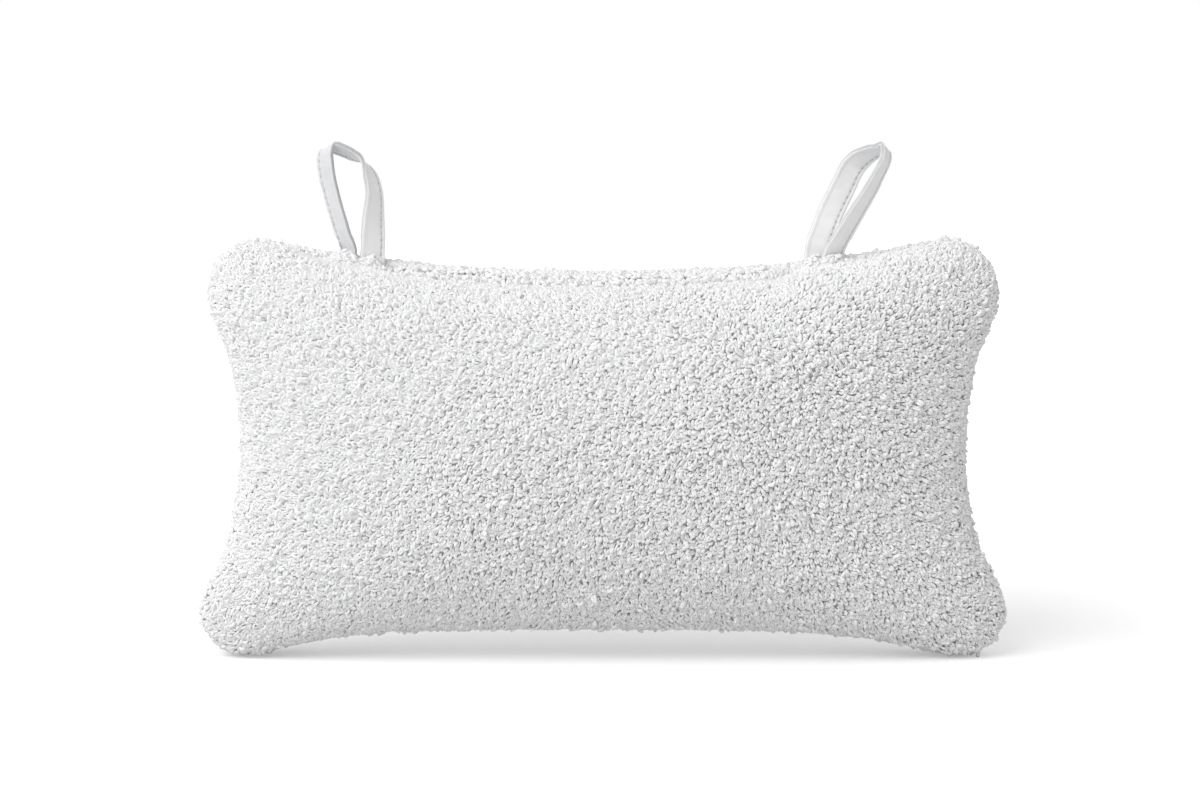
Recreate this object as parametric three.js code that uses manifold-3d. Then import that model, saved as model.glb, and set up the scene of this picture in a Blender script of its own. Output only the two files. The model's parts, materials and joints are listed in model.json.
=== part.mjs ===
// A terry bath pillow that stands on its two lower ears, with two tape loops in its top seam.
// Millimetres, +Z up, +X to the right, the front faces -Y, and the origin is under the middle.
import * as THREE from 'three';
import Module from 'manifold-3d';

const wasm = await Module();
wasm.setup();

// Driving dimensions of the cushion
const lowerEarWidth = 380;
const upperEarWidth = 374;
const waistWidth = 343;
const cushionHeight = 199.7;
const topDip = 16.3;
const bottomArch = 12.9;
const earHeight = 50;
const crownDepth = 47;
const footCut = 0.5;
const terryThickness = 4;
const rollHeight = 5;

// Driving dimensions of what is sewn and stuffed
const clearance = 0.3;
const allowanceLength = 10;
const allowanceThickness = 2.4;
const overlockThickness = 0.5;
const overlockReach = 4.5;
const seamThreadSize = 0.5;
const seamThreadInset = 2;
const caseEase = 2.5;
const caseThickness = 0.8;
const crownEase = 0.6;
const fillEase = 1.2;

// Driving dimensions of the loops
const tapeWidth = 12;
const tapeThickness = 1.6;
const sewnTapeThickness = 1;
const tapeTail = 7;
const leftLoopHeight = 45;
const rightLoopHeight = 50.3;
const leftLoopPlace = -112.5;
const rightLoopPlace = 102.6;
const pivotRise = 1.8;
const edgeThreadSize = 0.4;
const edgeThreadInset = 1.4;

// Fullness of the crown: 0.5 would be an ellipse, less is plumper
const crownPowerShare = 0.44;

// Half of the outline, from the middle of the bottom edge up to the middle of the top edge.
// Across, each point is a share of the reach beside its table.
const lowerReach = lowerEarWidth / 2;
const waistReach = waistWidth / 2;
const upperReach = upperEarWidth / 2;
const bottomEdgeShares = [[0.42, 0.95], [0.71, 0.57]];
const lowerEarShares = [[0.955, 0.085], [1, 0.386], [0.971, 0.74]];
const waistShares = [[1.018, 0.336], [1, 0.52], [1.029, 0.716]];
const upperEarShares = [[1, 0.594], [0.976, 0.204], [0.888, 0]];
const topEdgeShares = [[0.75, 0.29], [0.43, 0.78]];
const footShares = [0.856, 0.908];

// How far the back panel rolls up over the seam, along the top edge
const rollShares = [[-0.75, 0], [-0.6, 0.75], [-0.45, 1], [0.42, 1], [0.53, 0.8], [0.64, 0.25], [0.76, 0]];

// Rings of each face, as shares of the way from the middle to the edge
const outerRingShares = [0.3, 0.54, 0.73, 0.86, 0.94, 0.98, 0.996, 1];
const innerRingShares = [0.45, 0.7, 0.88, 0.97, 1];
const rimTurnShares = [0.5, 1];
const samplesBetweenPoints = 2;

const terry = { color: 0xf2f2f1, roughness: 0.95, metalness: 0 };
const cotton = { color: 0xf4f4f4, roughness: 0.6, metalness: 0 };
const sewing = { color: 0xe9e9ea, roughness: 0.7, metalness: 0 };
const nonwoven = { color: 0xeeeeea, roughness: 0.85, metalness: 0 };
const fibre = { color: 0xf6f6f2, roughness: 1, metalness: 0 };

const seamDepth = terryThickness - clearance / 2;
const seamFace = clearance / 2;
const wallInset = terryThickness + clearance;
const allowanceTop = seamFace + allowanceThickness;
const allowanceEnd = seamDepth + allowanceLength;
const overlockInner = allowanceEnd + clearance;
const overlockOuter = overlockInner + overlockThickness;
const caseInset = overlockOuter + caseEase;
const caseInnerInset = caseInset + caseThickness;
const fillInset = caseInnerInset + fillEase;
const innerCrown = crownDepth - terryThickness;
const caseCrown = innerCrown - crownEase;
const caseInnerCrown = caseCrown - caseThickness;
const fillCrown = caseInnerCrown - crownEase;
const middleHeight = (bottomArch + cushionHeight - topDip) / 2;
const middleReach = middleHeight - bottomArch;

const part = new THREE.Group();

function addPiece(name, geometry, finish) {
  const piece = new THREE.Mesh(geometry, new THREE.MeshStandardMaterial(finish));
  piece.name = name;
  part.add(piece);
}

// The outline as seen from the front, counter-clockwise from the middle of the bottom edge

function halfOutline() {
  const points = [[0, bottomArch]];
  for (const [across, up] of bottomEdgeShares) {
    points.push([across * lowerReach, up * bottomArch]);
  }
  for (const across of footShares) {
    points.push([across * lowerReach, -footCut]);
  }
  for (const [across, up] of lowerEarShares) {
    points.push([across * lowerReach, up * earHeight]);
  }
  for (const [across, up] of waistShares) {
    points.push([across * waistReach, up * cushionHeight]);
  }
  for (const [across, down] of upperEarShares) {
    points.push([across * upperReach, cushionHeight - down * earHeight]);
  }
  for (const [across, down] of topEdgeShares) {
    points.push([across * upperReach, cushionHeight - down * topDip]);
  }
  points.push([0, cushionHeight - topDip]);
  return points;
}

function outlinePoints() {
  const right = halfOutline();
  const left = right.slice(1, -1).reverse();
  const corners = right.map(([x, z]) => new THREE.Vector3(x, 0, z));
  corners.push(...left.map(([x, z]) => new THREE.Vector3(-x, 0, z)));
  const curve = new THREE.CatmullRomCurve3(corners, true, 'centripetal');
  const count = corners.length * samplesBetweenPoints;
  return Array.from({ length: count }, (_, i) => curve.getPoint(i / count));
}

const outline = outlinePoints();
const around = outline.length;

const inwardNormals = outline.map((point, i) => {
  const before = outline[(i + around - 1) % around];
  const after = outline[(i + 1) % around];
  const along = after.clone().sub(before).normalize();
  return new THREE.Vector3(-along.z, 0, along.x);
});

function between(shares, place) {
  if (place <= shares[0][0] || place >= shares.at(-1)[0]) {
    return 0;
  }
  const after = shares.findIndex(([at]) => at > place);
  const [x0, y0] = shares[after - 1];
  const [x1, y1] = shares[after];
  return THREE.MathUtils.lerp(y0, y1, (place - x0) / (x1 - x0));
}

function rollAt(place) {
  return rollHeight * between(rollShares, place / lowerReach);
}

const rolls = outline.map((point) => (point.z > middleHeight ? rollAt(point.x) : 0));

// One ring of the outline, drawn in by an inset, shrunk to a share and moved out of the seam's plane.
// The smaller the share, the nearer the ring is to a plain oval, so that the crown has no ridges.
function ring(insetAt, share, depthAt) {
  return outline.map((point, i) => {
    const inset = insetAt(i);
    const edge = point.clone().addScaledVector(inwardNormals[i], inset);
    edge.z -= middleHeight;
    const turn = Math.atan2((point.z - middleHeight) / middleReach, point.x / waistReach);
    const oval = new THREE.Vector3(
      (waistReach - inset) * Math.cos(turn),
      0,
      (middleReach - inset) * Math.sin(turn),
    );
    const place = oval.lerp(edge, share ** 2).multiplyScalar(share);
    return place.setY(depthAt(i)).setZ(place.z + middleHeight);
  });
}

function crownAt(share) {
  return (1 - share ** 2) ** crownPowerShare;
}

// The rings of one crowned face from its middle to its edge, on the side that side gives
function faceRings(side, shares, insetAt, edgeDepthAt, crown) {
  return shares.map((share) => ring(insetAt, share, (i) => {
    const edgeDepth = edgeDepthAt(i);
    return side * (edgeDepth + (crown - edgeDepth) * crownAt(share));
  }));
}

function middlePoint(depth) {
  return new THREE.Vector3(0, depth, middleHeight);
}

// Closed bodies from rings of points: round a pole at each end, with flat ends, or joined end to end

function signedVolume(positions, index) {
  const [a, b, c] = [new THREE.Vector3(), new THREE.Vector3(), new THREE.Vector3()];
  let total = 0;
  for (let i = 0; i < index.length; i += 3) {
    a.fromArray(positions, 3 * index[i]);
    b.fromArray(positions, 3 * index[i + 1]);
    c.fromArray(positions, 3 * index[i + 2]);
    total += a.dot(b.cross(c));
  }
  return total;
}

function closedBody(points, index) {
  const positions = points.flatMap((point) => point.toArray());
  if (signedVolume(positions, index) < 0) {
    for (let i = 0; i < index.length; i += 3) {
      [index[i + 1], index[i + 2]] = [index[i + 2], index[i + 1]];
    }
  }
  const body = new THREE.BufferGeometry();
  body.setAttribute('position', new THREE.Float32BufferAttribute(positions, 3));
  body.setIndex(index);
  return body;
}

function stitchRings(index, from, to, sides) {
  for (let i = 0; i < sides; i += 1) {
    const next = (i + 1) % sides;
    index.push(from + i, to + i, to + next, from + i, to + next, from + next);
  }
}

function bodyWithPoles(firstPole, rings, lastPole) {
  const sides = rings[0].length;
  const points = [firstPole, ...rings.flat(), lastPole];
  const index = [];
  for (let i = 0; i < sides; i += 1) {
    const next = (i + 1) % sides;
    index.push(0, 1 + i, 1 + next);
    const last = 1 + (rings.length - 1) * sides;
    index.push(points.length - 1, last + next, last + i);
  }
  for (let k = 0; k + 1 < rings.length; k += 1) {
    stitchRings(index, 1 + k * sides, 1 + (k + 1) * sides, sides);
  }
  return closedBody(points, index);
}

function ringBody(rings) {
  const sides = rings[0].length;
  const index = [];
  for (let k = 0; k < rings.length; k += 1) {
    stitchRings(index, k * sides, ((k + 1) % rings.length) * sides, sides);
  }
  return closedBody(rings.flat(), index);
}

function barBody(rings) {
  const sides = rings[0].length;
  const index = [];
  for (let k = 0; k + 1 < rings.length; k += 1) {
    stitchRings(index, k * sides, (k + 1) * sides, sides);
  }
  const last = (rings.length - 1) * sides;
  for (let i = 1; i + 1 < sides; i += 1) {
    index.push(0, i, i + 1, last, last + i + 1, last + i);
  }
  return closedBody(rings.flat(), index);
}

function toManifold(geometry) {
  const vertProperties = new Float32Array(geometry.attributes.position.array);
  const triVerts = new Uint32Array(geometry.index.array);
  return new wasm.Manifold(new wasm.Mesh({ numProp: 3, vertProperties, triVerts }));
}

function fromManifold(solid) {
  const mesh = solid.getMesh();
  const body = new THREE.BufferGeometry();
  body.setAttribute('position', new THREE.BufferAttribute(mesh.vertProperties, 3));
  body.setIndex(new THREE.BufferAttribute(mesh.triVerts, 1));
  return body;
}

// Loops: where each one's tape runs. A row is across, back and up as shares of the loop's height,
// then the way the stitched edge points in degrees, how far that edge is raised and how oblique a fold is.
const leftLoopRows = [
  [-0.15, -0.01, 0.05, 160, 0, 0],
  [-0.202, -0.03, 0.111, 126, 0, 0],
  [-0.255, -0.04, 0.284, 123, 0, 0],
  [-0.303, -0.035, 0.451, 123, 0, 0],
  [-0.356, -0.025, 0.671, 124, 0, 0],
  [-0.382, -0.015, 0.86, 127, 0, 0],
  [-0.37, -0.01, 0.975, 124, -6, 0.4],
  [-0.325, -0.005, 1.03, 119, -17, 1],
  [-0.262, -0.005, 1.022, 112, -24, 0.6],
  [-0.185, -0.01, 0.993, 104, -28, 0],
  [-0.1, -0.01, 0.955, 98, -29, 0],
  [0.005, -0.01, 0.893, 85, -22, 0],
  [0.089, -0.015, 0.734, 66, 0, 0],
  [0.122, -0.02, 0.535, 56, 0, 0],
  [0.112, -0.025, 0.346, 41, 0, 0],
  [0.1, -0.025, 0.151, 29, 0, 0],
  [0.098, -0.018, 0.05, 4, 0, 0],
];
const rightLoopRows = [
  [-0.022, 0.02, 0.05, 0, 0, 0],
  [0.046, 0.05, 0.17, 0, 0, 0],
  [0.106, 0.1, 0.34, 0, 0, 0],
  [0.223, 0.135, 0.583, 2, 0, 0],
  [0.301, 0.125, 0.757, 6, -10, 0],
  [0.352, 0.1, 0.83, 25, -45, 0],
  [0.428, 0.05, 0.887, 65, -50, 0],
  [0.51, 0, 0.925, 80, -36, 0],
  [0.575, -0.025, 0.948, 72, -26, 0.6],
  [0.598, -0.045, 0.935, 67, -20, 1],
  [0.602, -0.075, 0.873, 64, -6, 0.4],
  [0.56, -0.1, 0.77, 58, 0, 0],
  [0.446, -0.107, 0.579, 49, 0, 0],
  [0.305, -0.095, 0.34, 41, 0, 0],
  [0.2, -0.06, 0.151, 34, 0, 0],
  [0.09, -0.02, 0.06, 6, 0, 0],
];
const leftRootShares = { back: -0.12, front: 0.098, backTurn: 180, frontTurn: 0 };
const rightRootShares = { back: -0.064, front: 0.064, backTurn: 0, frontTurn: 0 };
const foldedEdgeShare = 0.3;
const foldThinningShare = 0.35;
const leaningShare = 0.3;
const ringsBetweenRows = 2;

const sewnLegOffset = (sewnTapeThickness + clearance) / 2;
const foldReach = sewnLegOffset + sewnTapeThickness / 2;
const foldDrop = foldReach * Math.cos(Math.PI / 6);
const endGap = foldReach + clearance;

function crestHeight(place) {
  const top = outline.filter((point) => point.z > middleHeight);
  const after = top.findIndex((point) => point.x < place);
  const [a, b] = [top[after - 1], top[after]];
  return THREE.MathUtils.lerp(a.z, b.z, (place - a.x) / (b.x - a.x));
}

function pivotPoint(place) {
  const crest = Math.max(crestHeight(place - tapeWidth), crestHeight(place + tapeWidth));
  return new THREE.Vector3(place, 0, crest + pivotRise);
}

function turned(degrees, raise) {
  const angle = THREE.MathUtils.degToRad(degrees);
  return new THREE.Vector3(Math.cos(angle), Math.sin(angle), Math.sin(THREE.MathUtils.degToRad(raise)));
}

// Next to the seam the tape leans in its own plane, so square says how far its edge has turned square
function loopStations(pivot, rows, roots, height) {
  const stations = rows.map(([across, back, up, turn, raise, oblique], i) => ({
    centre: new THREE.Vector3(across, back, up).multiplyScalar(height).add(pivot),
    edge: turned(turn, raise),
    thin: 1,
    square: i === 0 || i === rows.length - 1 ? leaningShare : 1 - oblique,
  }));
  const foot = (share, side, turn) => ({
    centre: pivot.clone().add(new THREE.Vector3(share * height, side * sewnLegOffset, -foldDrop)),
    edge: turned(turn, 0),
    thin: foldThinningShare,
    square: 0,
  });
  const back = foot(roots.back, 1, roots.backTurn);
  const front = foot(roots.front, -1, roots.frontTurn);
  return [back, ...stations, front];
}

// Rings along a tape: each holds its centre, the way across to the stitched edge and the way off its face
function tapeFrames(stations) {
  const centres = new THREE.CatmullRomCurve3(stations.map((row) => row.centre), false, 'centripetal');
  const edges = new THREE.CatmullRomCurve3(stations.map((row) => row.edge), false, 'centripetal');
  const steps = (stations.length - 1) * ringsBetweenRows;
  return Array.from({ length: steps + 1 }, (_, k) => {
    const t = k / steps;
    const row = Math.min(Math.floor(k / ringsBetweenRows), stations.length - 2);
    const along = centres.getTangent(t);
    const share = k / ringsBetweenRows - row;
    const thin = THREE.MathUtils.lerp(stations[row].thin, stations[row + 1].thin, share);
    const square = THREE.MathUtils.lerp(stations[row].square, stations[row + 1].square, share);
    const across = edges.getPoint(t);
    across.addScaledVector(along, -square * across.dot(along)).normalize();
    const off = along.clone().cross(across).normalize();
    return { centre: centres.getPoint(t), across, off, thin };
  });
}

function tapeRing(frame, width, thickness) {
  const half = width / 2;
  const flat = half - foldedEdgeShare * thickness;
  const face = thickness / 2;
  const stitched = half - edgeThreadInset;
  const corners = [
    [-flat, -face], [stitched, -face], [flat, -face], [half, 0],
    [flat, face], [stitched, face], [-flat, face], [-half, 0],
  ];
  return corners.map(([x, y]) => frame.centre.clone()
    .addScaledVector(frame.across, x).addScaledVector(frame.off, y));
}

function threadRing(frame, side) {
  const middle = tapeWidth / 2 - edgeThreadInset;
  const low = tapeThickness / 2 + clearance;
  const half = edgeThreadSize / 2;
  const corners = [[-half, 0], [half, 0], [half, edgeThreadSize], [-half, edgeThreadSize]];
  return corners.map(([x, y]) => frame.centre.clone()
    .addScaledVector(frame.across, middle + x).addScaledVector(frame.off, side * (low + y)));
}

function addLoop(name, place, rows, roots, height) {
  const frames = tapeFrames(loopStations(pivotPoint(place), rows, roots, height));
  const tape = frames.map((frame) => tapeRing(frame, tapeWidth, tapeThickness * frame.thin));
  addPiece(name, barBody(tape), cotton);
  const stitched = frames.slice(2 * ringsBetweenRows, -2 * ringsBetweenRows);
  addPiece(`${name}_needle_thread`, barBody(stitched.map((frame) => threadRing(frame, 1))), sewing);
  addPiece(`${name}_bobbin_thread`, barBody(stitched.map((frame) => threadRing(frame, -1))), sewing);
}

// A sewn tape end, or the pocket round it, which is larger by the spare given
function tapeEnd(place, share, height, side, spare) {
  const pivot = pivotPoint(place);
  const top = pivot.z - endGap + (spare > 0 ? pivotRise + endGap : 0);
  const bottom = crestHeight(place) - rollAt(place) - seamDepth - tapeTail - spare;
  const x = place + share * height;
  const y = side * sewnLegOffset;
  const frameAt = (z) => ({
    centre: new THREE.Vector3(x, y, z),
    across: new THREE.Vector3(1, 0, 0),
    off: new THREE.Vector3(0, 1, 0),
  });
  const width = tapeWidth + 2 * spare;
  const thickness = sewnTapeThickness + 2 * spare;
  return barBody([bottom, top].map((z) => tapeRing(frameAt(z), width, thickness)));
}

const loops = [
  {
    name: 'left_loop', place: leftLoopPlace, height: leftLoopHeight,
    rows: leftLoopRows, roots: leftRootShares,
  },
  {
    name: 'right_loop', place: rightLoopPlace, height: rightLoopHeight,
    rows: rightLoopRows, roots: rightRootShares,
  },
];

// Terry panels: crowned shells whose edge turns down into the seam and ends in the seam allowance

function panelRings(side, edgeInsetAt, edgeDepthAt) {
  const rings = faceRings(side, outerRingShares, edgeInsetAt, edgeDepthAt, crownDepth);
  const insetAt = (inset) => (i) => rolls[i] + inset;
  for (const turn of rimTurnShares) {
    const angle = turn * Math.PI / 2;
    const rimInsetAt = (i) => {
      const reach = rolls[i] + seamDepth - edgeInsetAt(i);
      return edgeInsetAt(i) + reach * (1 - Math.cos(angle));
    };
    const rimDepthAt = (i) => {
      const rise = edgeDepthAt(i) - seamFace;
      return side * (edgeDepthAt(i) - rise * Math.sin(angle));
    };
    rings.push(ring(rimInsetAt, 1, rimDepthAt));
  }
  rings.push(ring(insetAt(allowanceEnd), 1, () => side * seamFace));
  rings.push(ring(insetAt(allowanceEnd), 1, () => side * allowanceTop));
  const innerRings = faceRings(side, innerRingShares, insetAt(wallInset), () => allowanceTop, innerCrown);
  rings.push(...innerRings.reverse());
  return rings;
}

function groundBlock() {
  const box = new THREE.Box3(
    new THREE.Vector3(-lowerEarWidth, -crownDepth, -cushionHeight),
    new THREE.Vector3(lowerEarWidth, crownDepth, 0),
  );
  const size = box.getSize(new THREE.Vector3());
  const centre = box.getCenter(new THREE.Vector3());
  const corners = [];
  for (const z of [-1, 1]) {
    corners.push([[-1, -1], [1, -1], [1, 1], [-1, 1]].map(([x, y]) => (
      new THREE.Vector3(x, y, z).multiply(size).multiplyScalar(1 / 2).add(centre))));
  }
  return barBody(corners);
}

function addPanel(name, side, edgeInsetAt, edgeDepthAt) {
  const rings = panelRings(side, edgeInsetAt, edgeDepthAt);
  const [outerPole, innerPole] = [crownDepth, innerCrown].map((depth) => middlePoint(side * depth));
  let solid = toManifold(bodyWithPoles(outerPole, rings, innerPole));
  solid = solid.subtract(toManifold(groundBlock()));
  for (const { place, roots, height } of loops) {
    solid = solid.subtract(toManifold(tapeEnd(place, roots.back, height, 1, clearance)));
    solid = solid.subtract(toManifold(tapeEnd(place, roots.front, height, -1, clearance)));
  }
  addPiece(name, fromManifold(solid), terry);
}

function addCaseHalf(name, side) {
  const insetAt = (inset) => (i) => rolls[i] + inset;
  const seam = () => seamFace;
  const outer = faceRings(side, innerRingShares, insetAt(caseInset), seam, caseCrown);
  const inner = faceRings(side, innerRingShares, insetAt(caseInnerInset), seam, caseInnerCrown).reverse();
  const poles = [middlePoint(side * caseCrown), middlePoint(side * caseInnerCrown)];
  addPiece(name, bodyWithPoles(poles[0], [...outer, ...inner], poles[1]), nonwoven);
}

function addFill() {
  const insetAt = (i) => rolls[i] + fillInset;
  const flat = () => 0;
  const front = faceRings(-1, innerRingShares, insetAt, flat, fillCrown);
  const back = faceRings(1, innerRingShares.slice(0, -1), insetAt, flat, fillCrown).reverse();
  const poles = [middlePoint(-fillCrown), middlePoint(fillCrown)];
  addPiece('fibre_fill', bodyWithPoles(poles[0], [...front, ...back], poles[1]), fibre);
}

// A closed ring that follows the seam, with its section given as insets and depths
function seamRing(section) {
  return ringBody(section.map(([inset, depth]) => ring((i) => rolls[i] + inset, 1, () => depth)));
}

function addOverlock() {
  const near = allowanceTop + clearance;
  const far = near + overlockThickness;
  const start = overlockInner - overlockReach;
  addPiece('seam_overlock', seamRing([
    [start, -far], [overlockOuter, -far], [overlockOuter, far], [start, far],
    [start, near], [overlockInner, near], [overlockInner, -near], [start, -near],
  ]), sewing);
}

function addSeamThread(name, side) {
  const near = side * (allowanceTop + clearance);
  const far = near + side * seamThreadSize;
  const start = wallInset + seamThreadInset;
  const end = start + seamThreadSize;
  addPiece(name, seamRing([[start, near], [end, near], [end, far], [start, far]]), sewing);
}

addPanel('terry_front_panel', -1, (i) => rolls[i], () => terryThickness);
addPanel('terry_back_panel', 1, () => 0, (i) => terryThickness + rolls[i]);
addCaseHalf('inner_case_front', -1);
addCaseHalf('inner_case_back', 1);
addFill();
addOverlock();
addSeamThread('seam_needle_thread', -1);
addSeamThread('seam_bobbin_thread', 1);
for (const { name, place, rows, roots, height } of loops) {
  addLoop(name, place, rows, roots, height);
  addPiece(`${name}_back_end`, tapeEnd(place, roots.back, height, 1, 0), cotton);
  addPiece(`${name}_front_end`, tapeEnd(place, roots.front, height, -1, 0), cotton);
}

export default part;
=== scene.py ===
# Looks of a terry bath pillow with two tape loops. Metres, +Z up, +X to the right, the front faces -Y.
import json
import math

import bmesh
import bpy
import numpy as np
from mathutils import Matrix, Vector
from mathutils.bvhtree import BVHTree
from mathutils.kdtree import KDTree
from mathutils.noise import noise_vector


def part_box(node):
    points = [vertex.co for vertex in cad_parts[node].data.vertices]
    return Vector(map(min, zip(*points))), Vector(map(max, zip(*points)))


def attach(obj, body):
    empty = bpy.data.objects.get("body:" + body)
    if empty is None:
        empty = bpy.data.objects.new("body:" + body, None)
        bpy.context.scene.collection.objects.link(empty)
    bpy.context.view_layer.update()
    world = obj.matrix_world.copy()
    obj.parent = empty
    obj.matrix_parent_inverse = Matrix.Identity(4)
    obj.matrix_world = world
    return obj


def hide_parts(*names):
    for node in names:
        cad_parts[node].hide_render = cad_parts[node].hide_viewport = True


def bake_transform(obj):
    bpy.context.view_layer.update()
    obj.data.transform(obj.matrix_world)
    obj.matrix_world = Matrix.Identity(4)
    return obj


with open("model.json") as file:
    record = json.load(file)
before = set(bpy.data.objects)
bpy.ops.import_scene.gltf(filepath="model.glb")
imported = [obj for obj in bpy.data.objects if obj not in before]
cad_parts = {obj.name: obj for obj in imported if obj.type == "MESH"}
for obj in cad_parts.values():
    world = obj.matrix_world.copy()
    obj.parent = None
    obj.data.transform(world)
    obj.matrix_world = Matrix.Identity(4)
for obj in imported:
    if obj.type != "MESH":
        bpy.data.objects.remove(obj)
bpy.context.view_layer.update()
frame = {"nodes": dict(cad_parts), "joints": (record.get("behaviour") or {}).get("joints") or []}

MM = 0.001
SEED = 11
NO_LENGTH = 1e-12
LEAST_GAP = 1e-9

# Camera: the middle of the picture in the seam's plane, and the width that the picture shows there
LOOK_AT = Vector((-1.1 * MM, 0, 122 * MM))
CAMERA_ELEVATION = math.radians(7)
PICTURE_WIDTH = 565 * MM
LENS = 85
SENSOR = 36

# Studio: the floor's glow rises from near the pillow to far from it, so that its edge doesn't show
KEY_PLACE = (-1.75, -1.65, 2.4)
KEY_SIZE = 2.6
KEY_POWER = 76
WORLD_STRENGTH = 0.56
FLOOR_HALF = 3
GLOW_FROM = 0.2
GLOW_TO = 0.9
GLOW_NEAR = 0.35
GLOW_FAR = 1.1

# Finishes: linear colours, the darker of a pair first
SPECULAR_LEVEL = 0.25
YARN_FUZZ = 2.5
PILE_WHITES = ((0.92, 0.92, 0.926), (0.95, 0.95, 0.955))
GROUND_WHITES = ((0.88, 0.88, 0.885), (0.94, 0.94, 0.94))
# The tape's white, and the grey that its painted shade darkens it towards
TAPE_PLAIN_WHITE = (0.87, 0.87, 0.875)
TAPE_PAINTED_SHADE_GREY = (0.48, 0.485, 0.5)
THREAD_GREYS = ((0.6, 0.605, 0.625), (0.76, 0.76, 0.775))
CASE_WHITES = ((0.72, 0.72, 0.7), (0.83, 0.83, 0.8))
FIBRE_WHITES = ((0.8, 0.8, 0.77), (0.9, 0.9, 0.87))

# Cushion
PILE_HEIGHT = 2.5 * MM
GROUND_THICKNESS = 0.9 * MM
RIM_DEPTH = 4 * MM
TERRY = 4 * MM
RIM_CUTS = 9 * MM
RIM_CUT_SHARES = (0.08, 0.2, 0.35, 0.5, 0.7, 0.9)
CUT_TOLERANCE = 1e-6
ROLL_SAMPLES = 90
ROLL_DEPTHS = (TERRY, 1.6 * TERRY, 2.2 * TERRY)
ROLL_REACH = 0.6
ROLL_BULGE = 1.1
FRONT_DROP = 0.4
FRONT_DROP_REACH = 25 * MM
SEAM_GAP = 0.15 * MM
SCAN_AROUND = 160
SCAN_ROWS = 22
SCAN_TURNS = (0.1, math.pi / 2 * 0.97)
POLE_OUT = 1.0005
VOXEL = 4.5 * MM
SMOOTHING = 0.5
SMOOTH_ROUNDS = 40
SMOOTH_FROM = 12 * MM
SMOOTH_OVER = 16 * MM

# Inflation: how firmly the seam is held, and how far from it that reaches
PRESSURE = 4
CLOTH_QUALITY = 5
CLOTH_MASS = 0.25
CLOTH_FRAMES = 20
HELD = 1.5
HELD_REACH = 14 * MM
MOST_SWELL = 7 * MM
MOST_DRAW_IN = 0.5 * MM

# Lower ears and left side, which the pile fills out
EAR_WIDER = 3.4 * MM
EAR_FROM = 110 * MM
EAR_FOOT = 30 * MM
EAR_TOP = 58 * MM
SIDE_LUMP = 1.6 * MM
SIDE_LUMP_HEIGHT = 72 * MM
SIDE_LUMP_REACH = 12 * MM

# Pile curls: hairpins of yarn, rooted by their two ends in the ground fabric
CURL_SPACING = 1.6 * MM
SCATTER_TRIES = 10
YARN_RADIUS = 0.8 * MM
YARN_SPREAD = 0.14
YARN_END_SHARE = 0.8
YARN_MIDDLE_MORE = 0.25
CURL_RISE = 1.1 * MM
CURL_RISE_SHARES = (0.8, 1.2)
CURL_ARCH = 0.6
CURL_REACH = 1.22 * MM
CURL_REACH_SPREAD = 0.28
CURL_LEG_SHARES = (0.75, 1.3)
CURL_ROLL = 0.28
CURL_BEND = 0.35
CURL_TURN = math.radians(150)
CURL_STATIONS = 8
CURL_SIDES = 6
CURL_ROOT_DEPTH = 0.3 * MM
PLY_PITCH = 2.2 * MM
BAKE_CELLS = 50
BAKE_MARGIN = 0.1
SEAM_CLEAR = 0.8 * MM
PATCH_ROWS = ("lower", "upper")
PATCH_COLUMNS = ("far_left", "left", "middle", "right", "far_right")

# Where curls differ: fat on the rolled strip, flat high up and on the left, steep low down and on the right
STRIP = 8 * MM
STRIP_PLUMPER = 0.3
FLAT_FROM = 165 * MM
FLAT_OVER = 35 * MM
FLATTER = 0.5
FLAT_LEFT_FROM = 50 * MM
FLAT_LEFT_OVER = 80 * MM
FLAT_LEFT = 0.5
STEEP_BELOW = 150 * MM
STEEP_OVER = 80 * MM
STEEP_RIGHT_OVER = 110 * MM
STEEPER = 0.5
THINNER = 0.1
PILE_LUMP = 0.25 * MM
PILE_LUMP_SCALE = 130

# Which way curls lean: the pull of their clump, of two sizes of swirl, of the brushing and of the seam
CLUMP_SPACING = 8 * MM
CLUMP_PULL = 60
FINE_SWIRL = 0.7
FINE_SWIRL_SCALE = 45
BROAD_SWIRL = 0.4
BROAD_SWIRL_SCALE = 12
COMBED_MIDDLE = (-0.9, 0, -1.1)
COMBED_FROM = 0.35
COMBED_OVER = 0.5
COMBED_OUTWARD = 0.9
COMBED_PULL = 1.3
LEAN_SPREAD = 0.35
PARTING = 6.5 * MM
SEAM_PULL = 6
HANGING_TILT = 0.3
HANGING_BACK = -0.5
HANGING_DOWN = 3

# The crease under the rolled strip: places across in metres, and the height of the crease at each
CREASE_ACROSS = (-0.14, -0.124, -0.1, -0.084, 0.081, 0.094, 0.113, 0.127)
CREASE_HEIGHT = (0.191, 0.1868, 0.183, 0.181, 0.18, 0.1845, 0.1878, 0.191)
CREASE_DEPTH = 1.6 * MM
CREASE_REACH = 1.3 * MM
CREASE_NEAR = 30 * MM

# Loops
LEFT_LOOP_HEIGHT = 45 * MM
RIGHT_LOOP_HEIGHT = 50.3 * MM
TAPE_WIDTH = 12 * MM
TAPE_THICKNESS = 1.6 * MM
TAPE_EDGE = 0.8 * MM
SEWN_LEG_OFFSET = 0.65 * MM
LEAST_THICKNESS_SHARE = 0.3
ROUTE_STEPS = 10
TAPE_RIPPLE = 0.25 * MM
TAPE_RIPPLE_SCALE = 160
WARP_PITCH = 0.45 * MM
WEFT_PITCH = 0.6 * MM
# Painted shade on the rear leg: full up to REAR_END along the tape and gone from FRONT_START; the right
# loop's rear gets RIGHT_REAR_SHARE of it
REAR_END = 75 * MM
FRONT_START = 92 * MM
SHADED_SIDE_TO = 20 * MM
RIGHT_REAR_SHARE = 0.45
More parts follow.
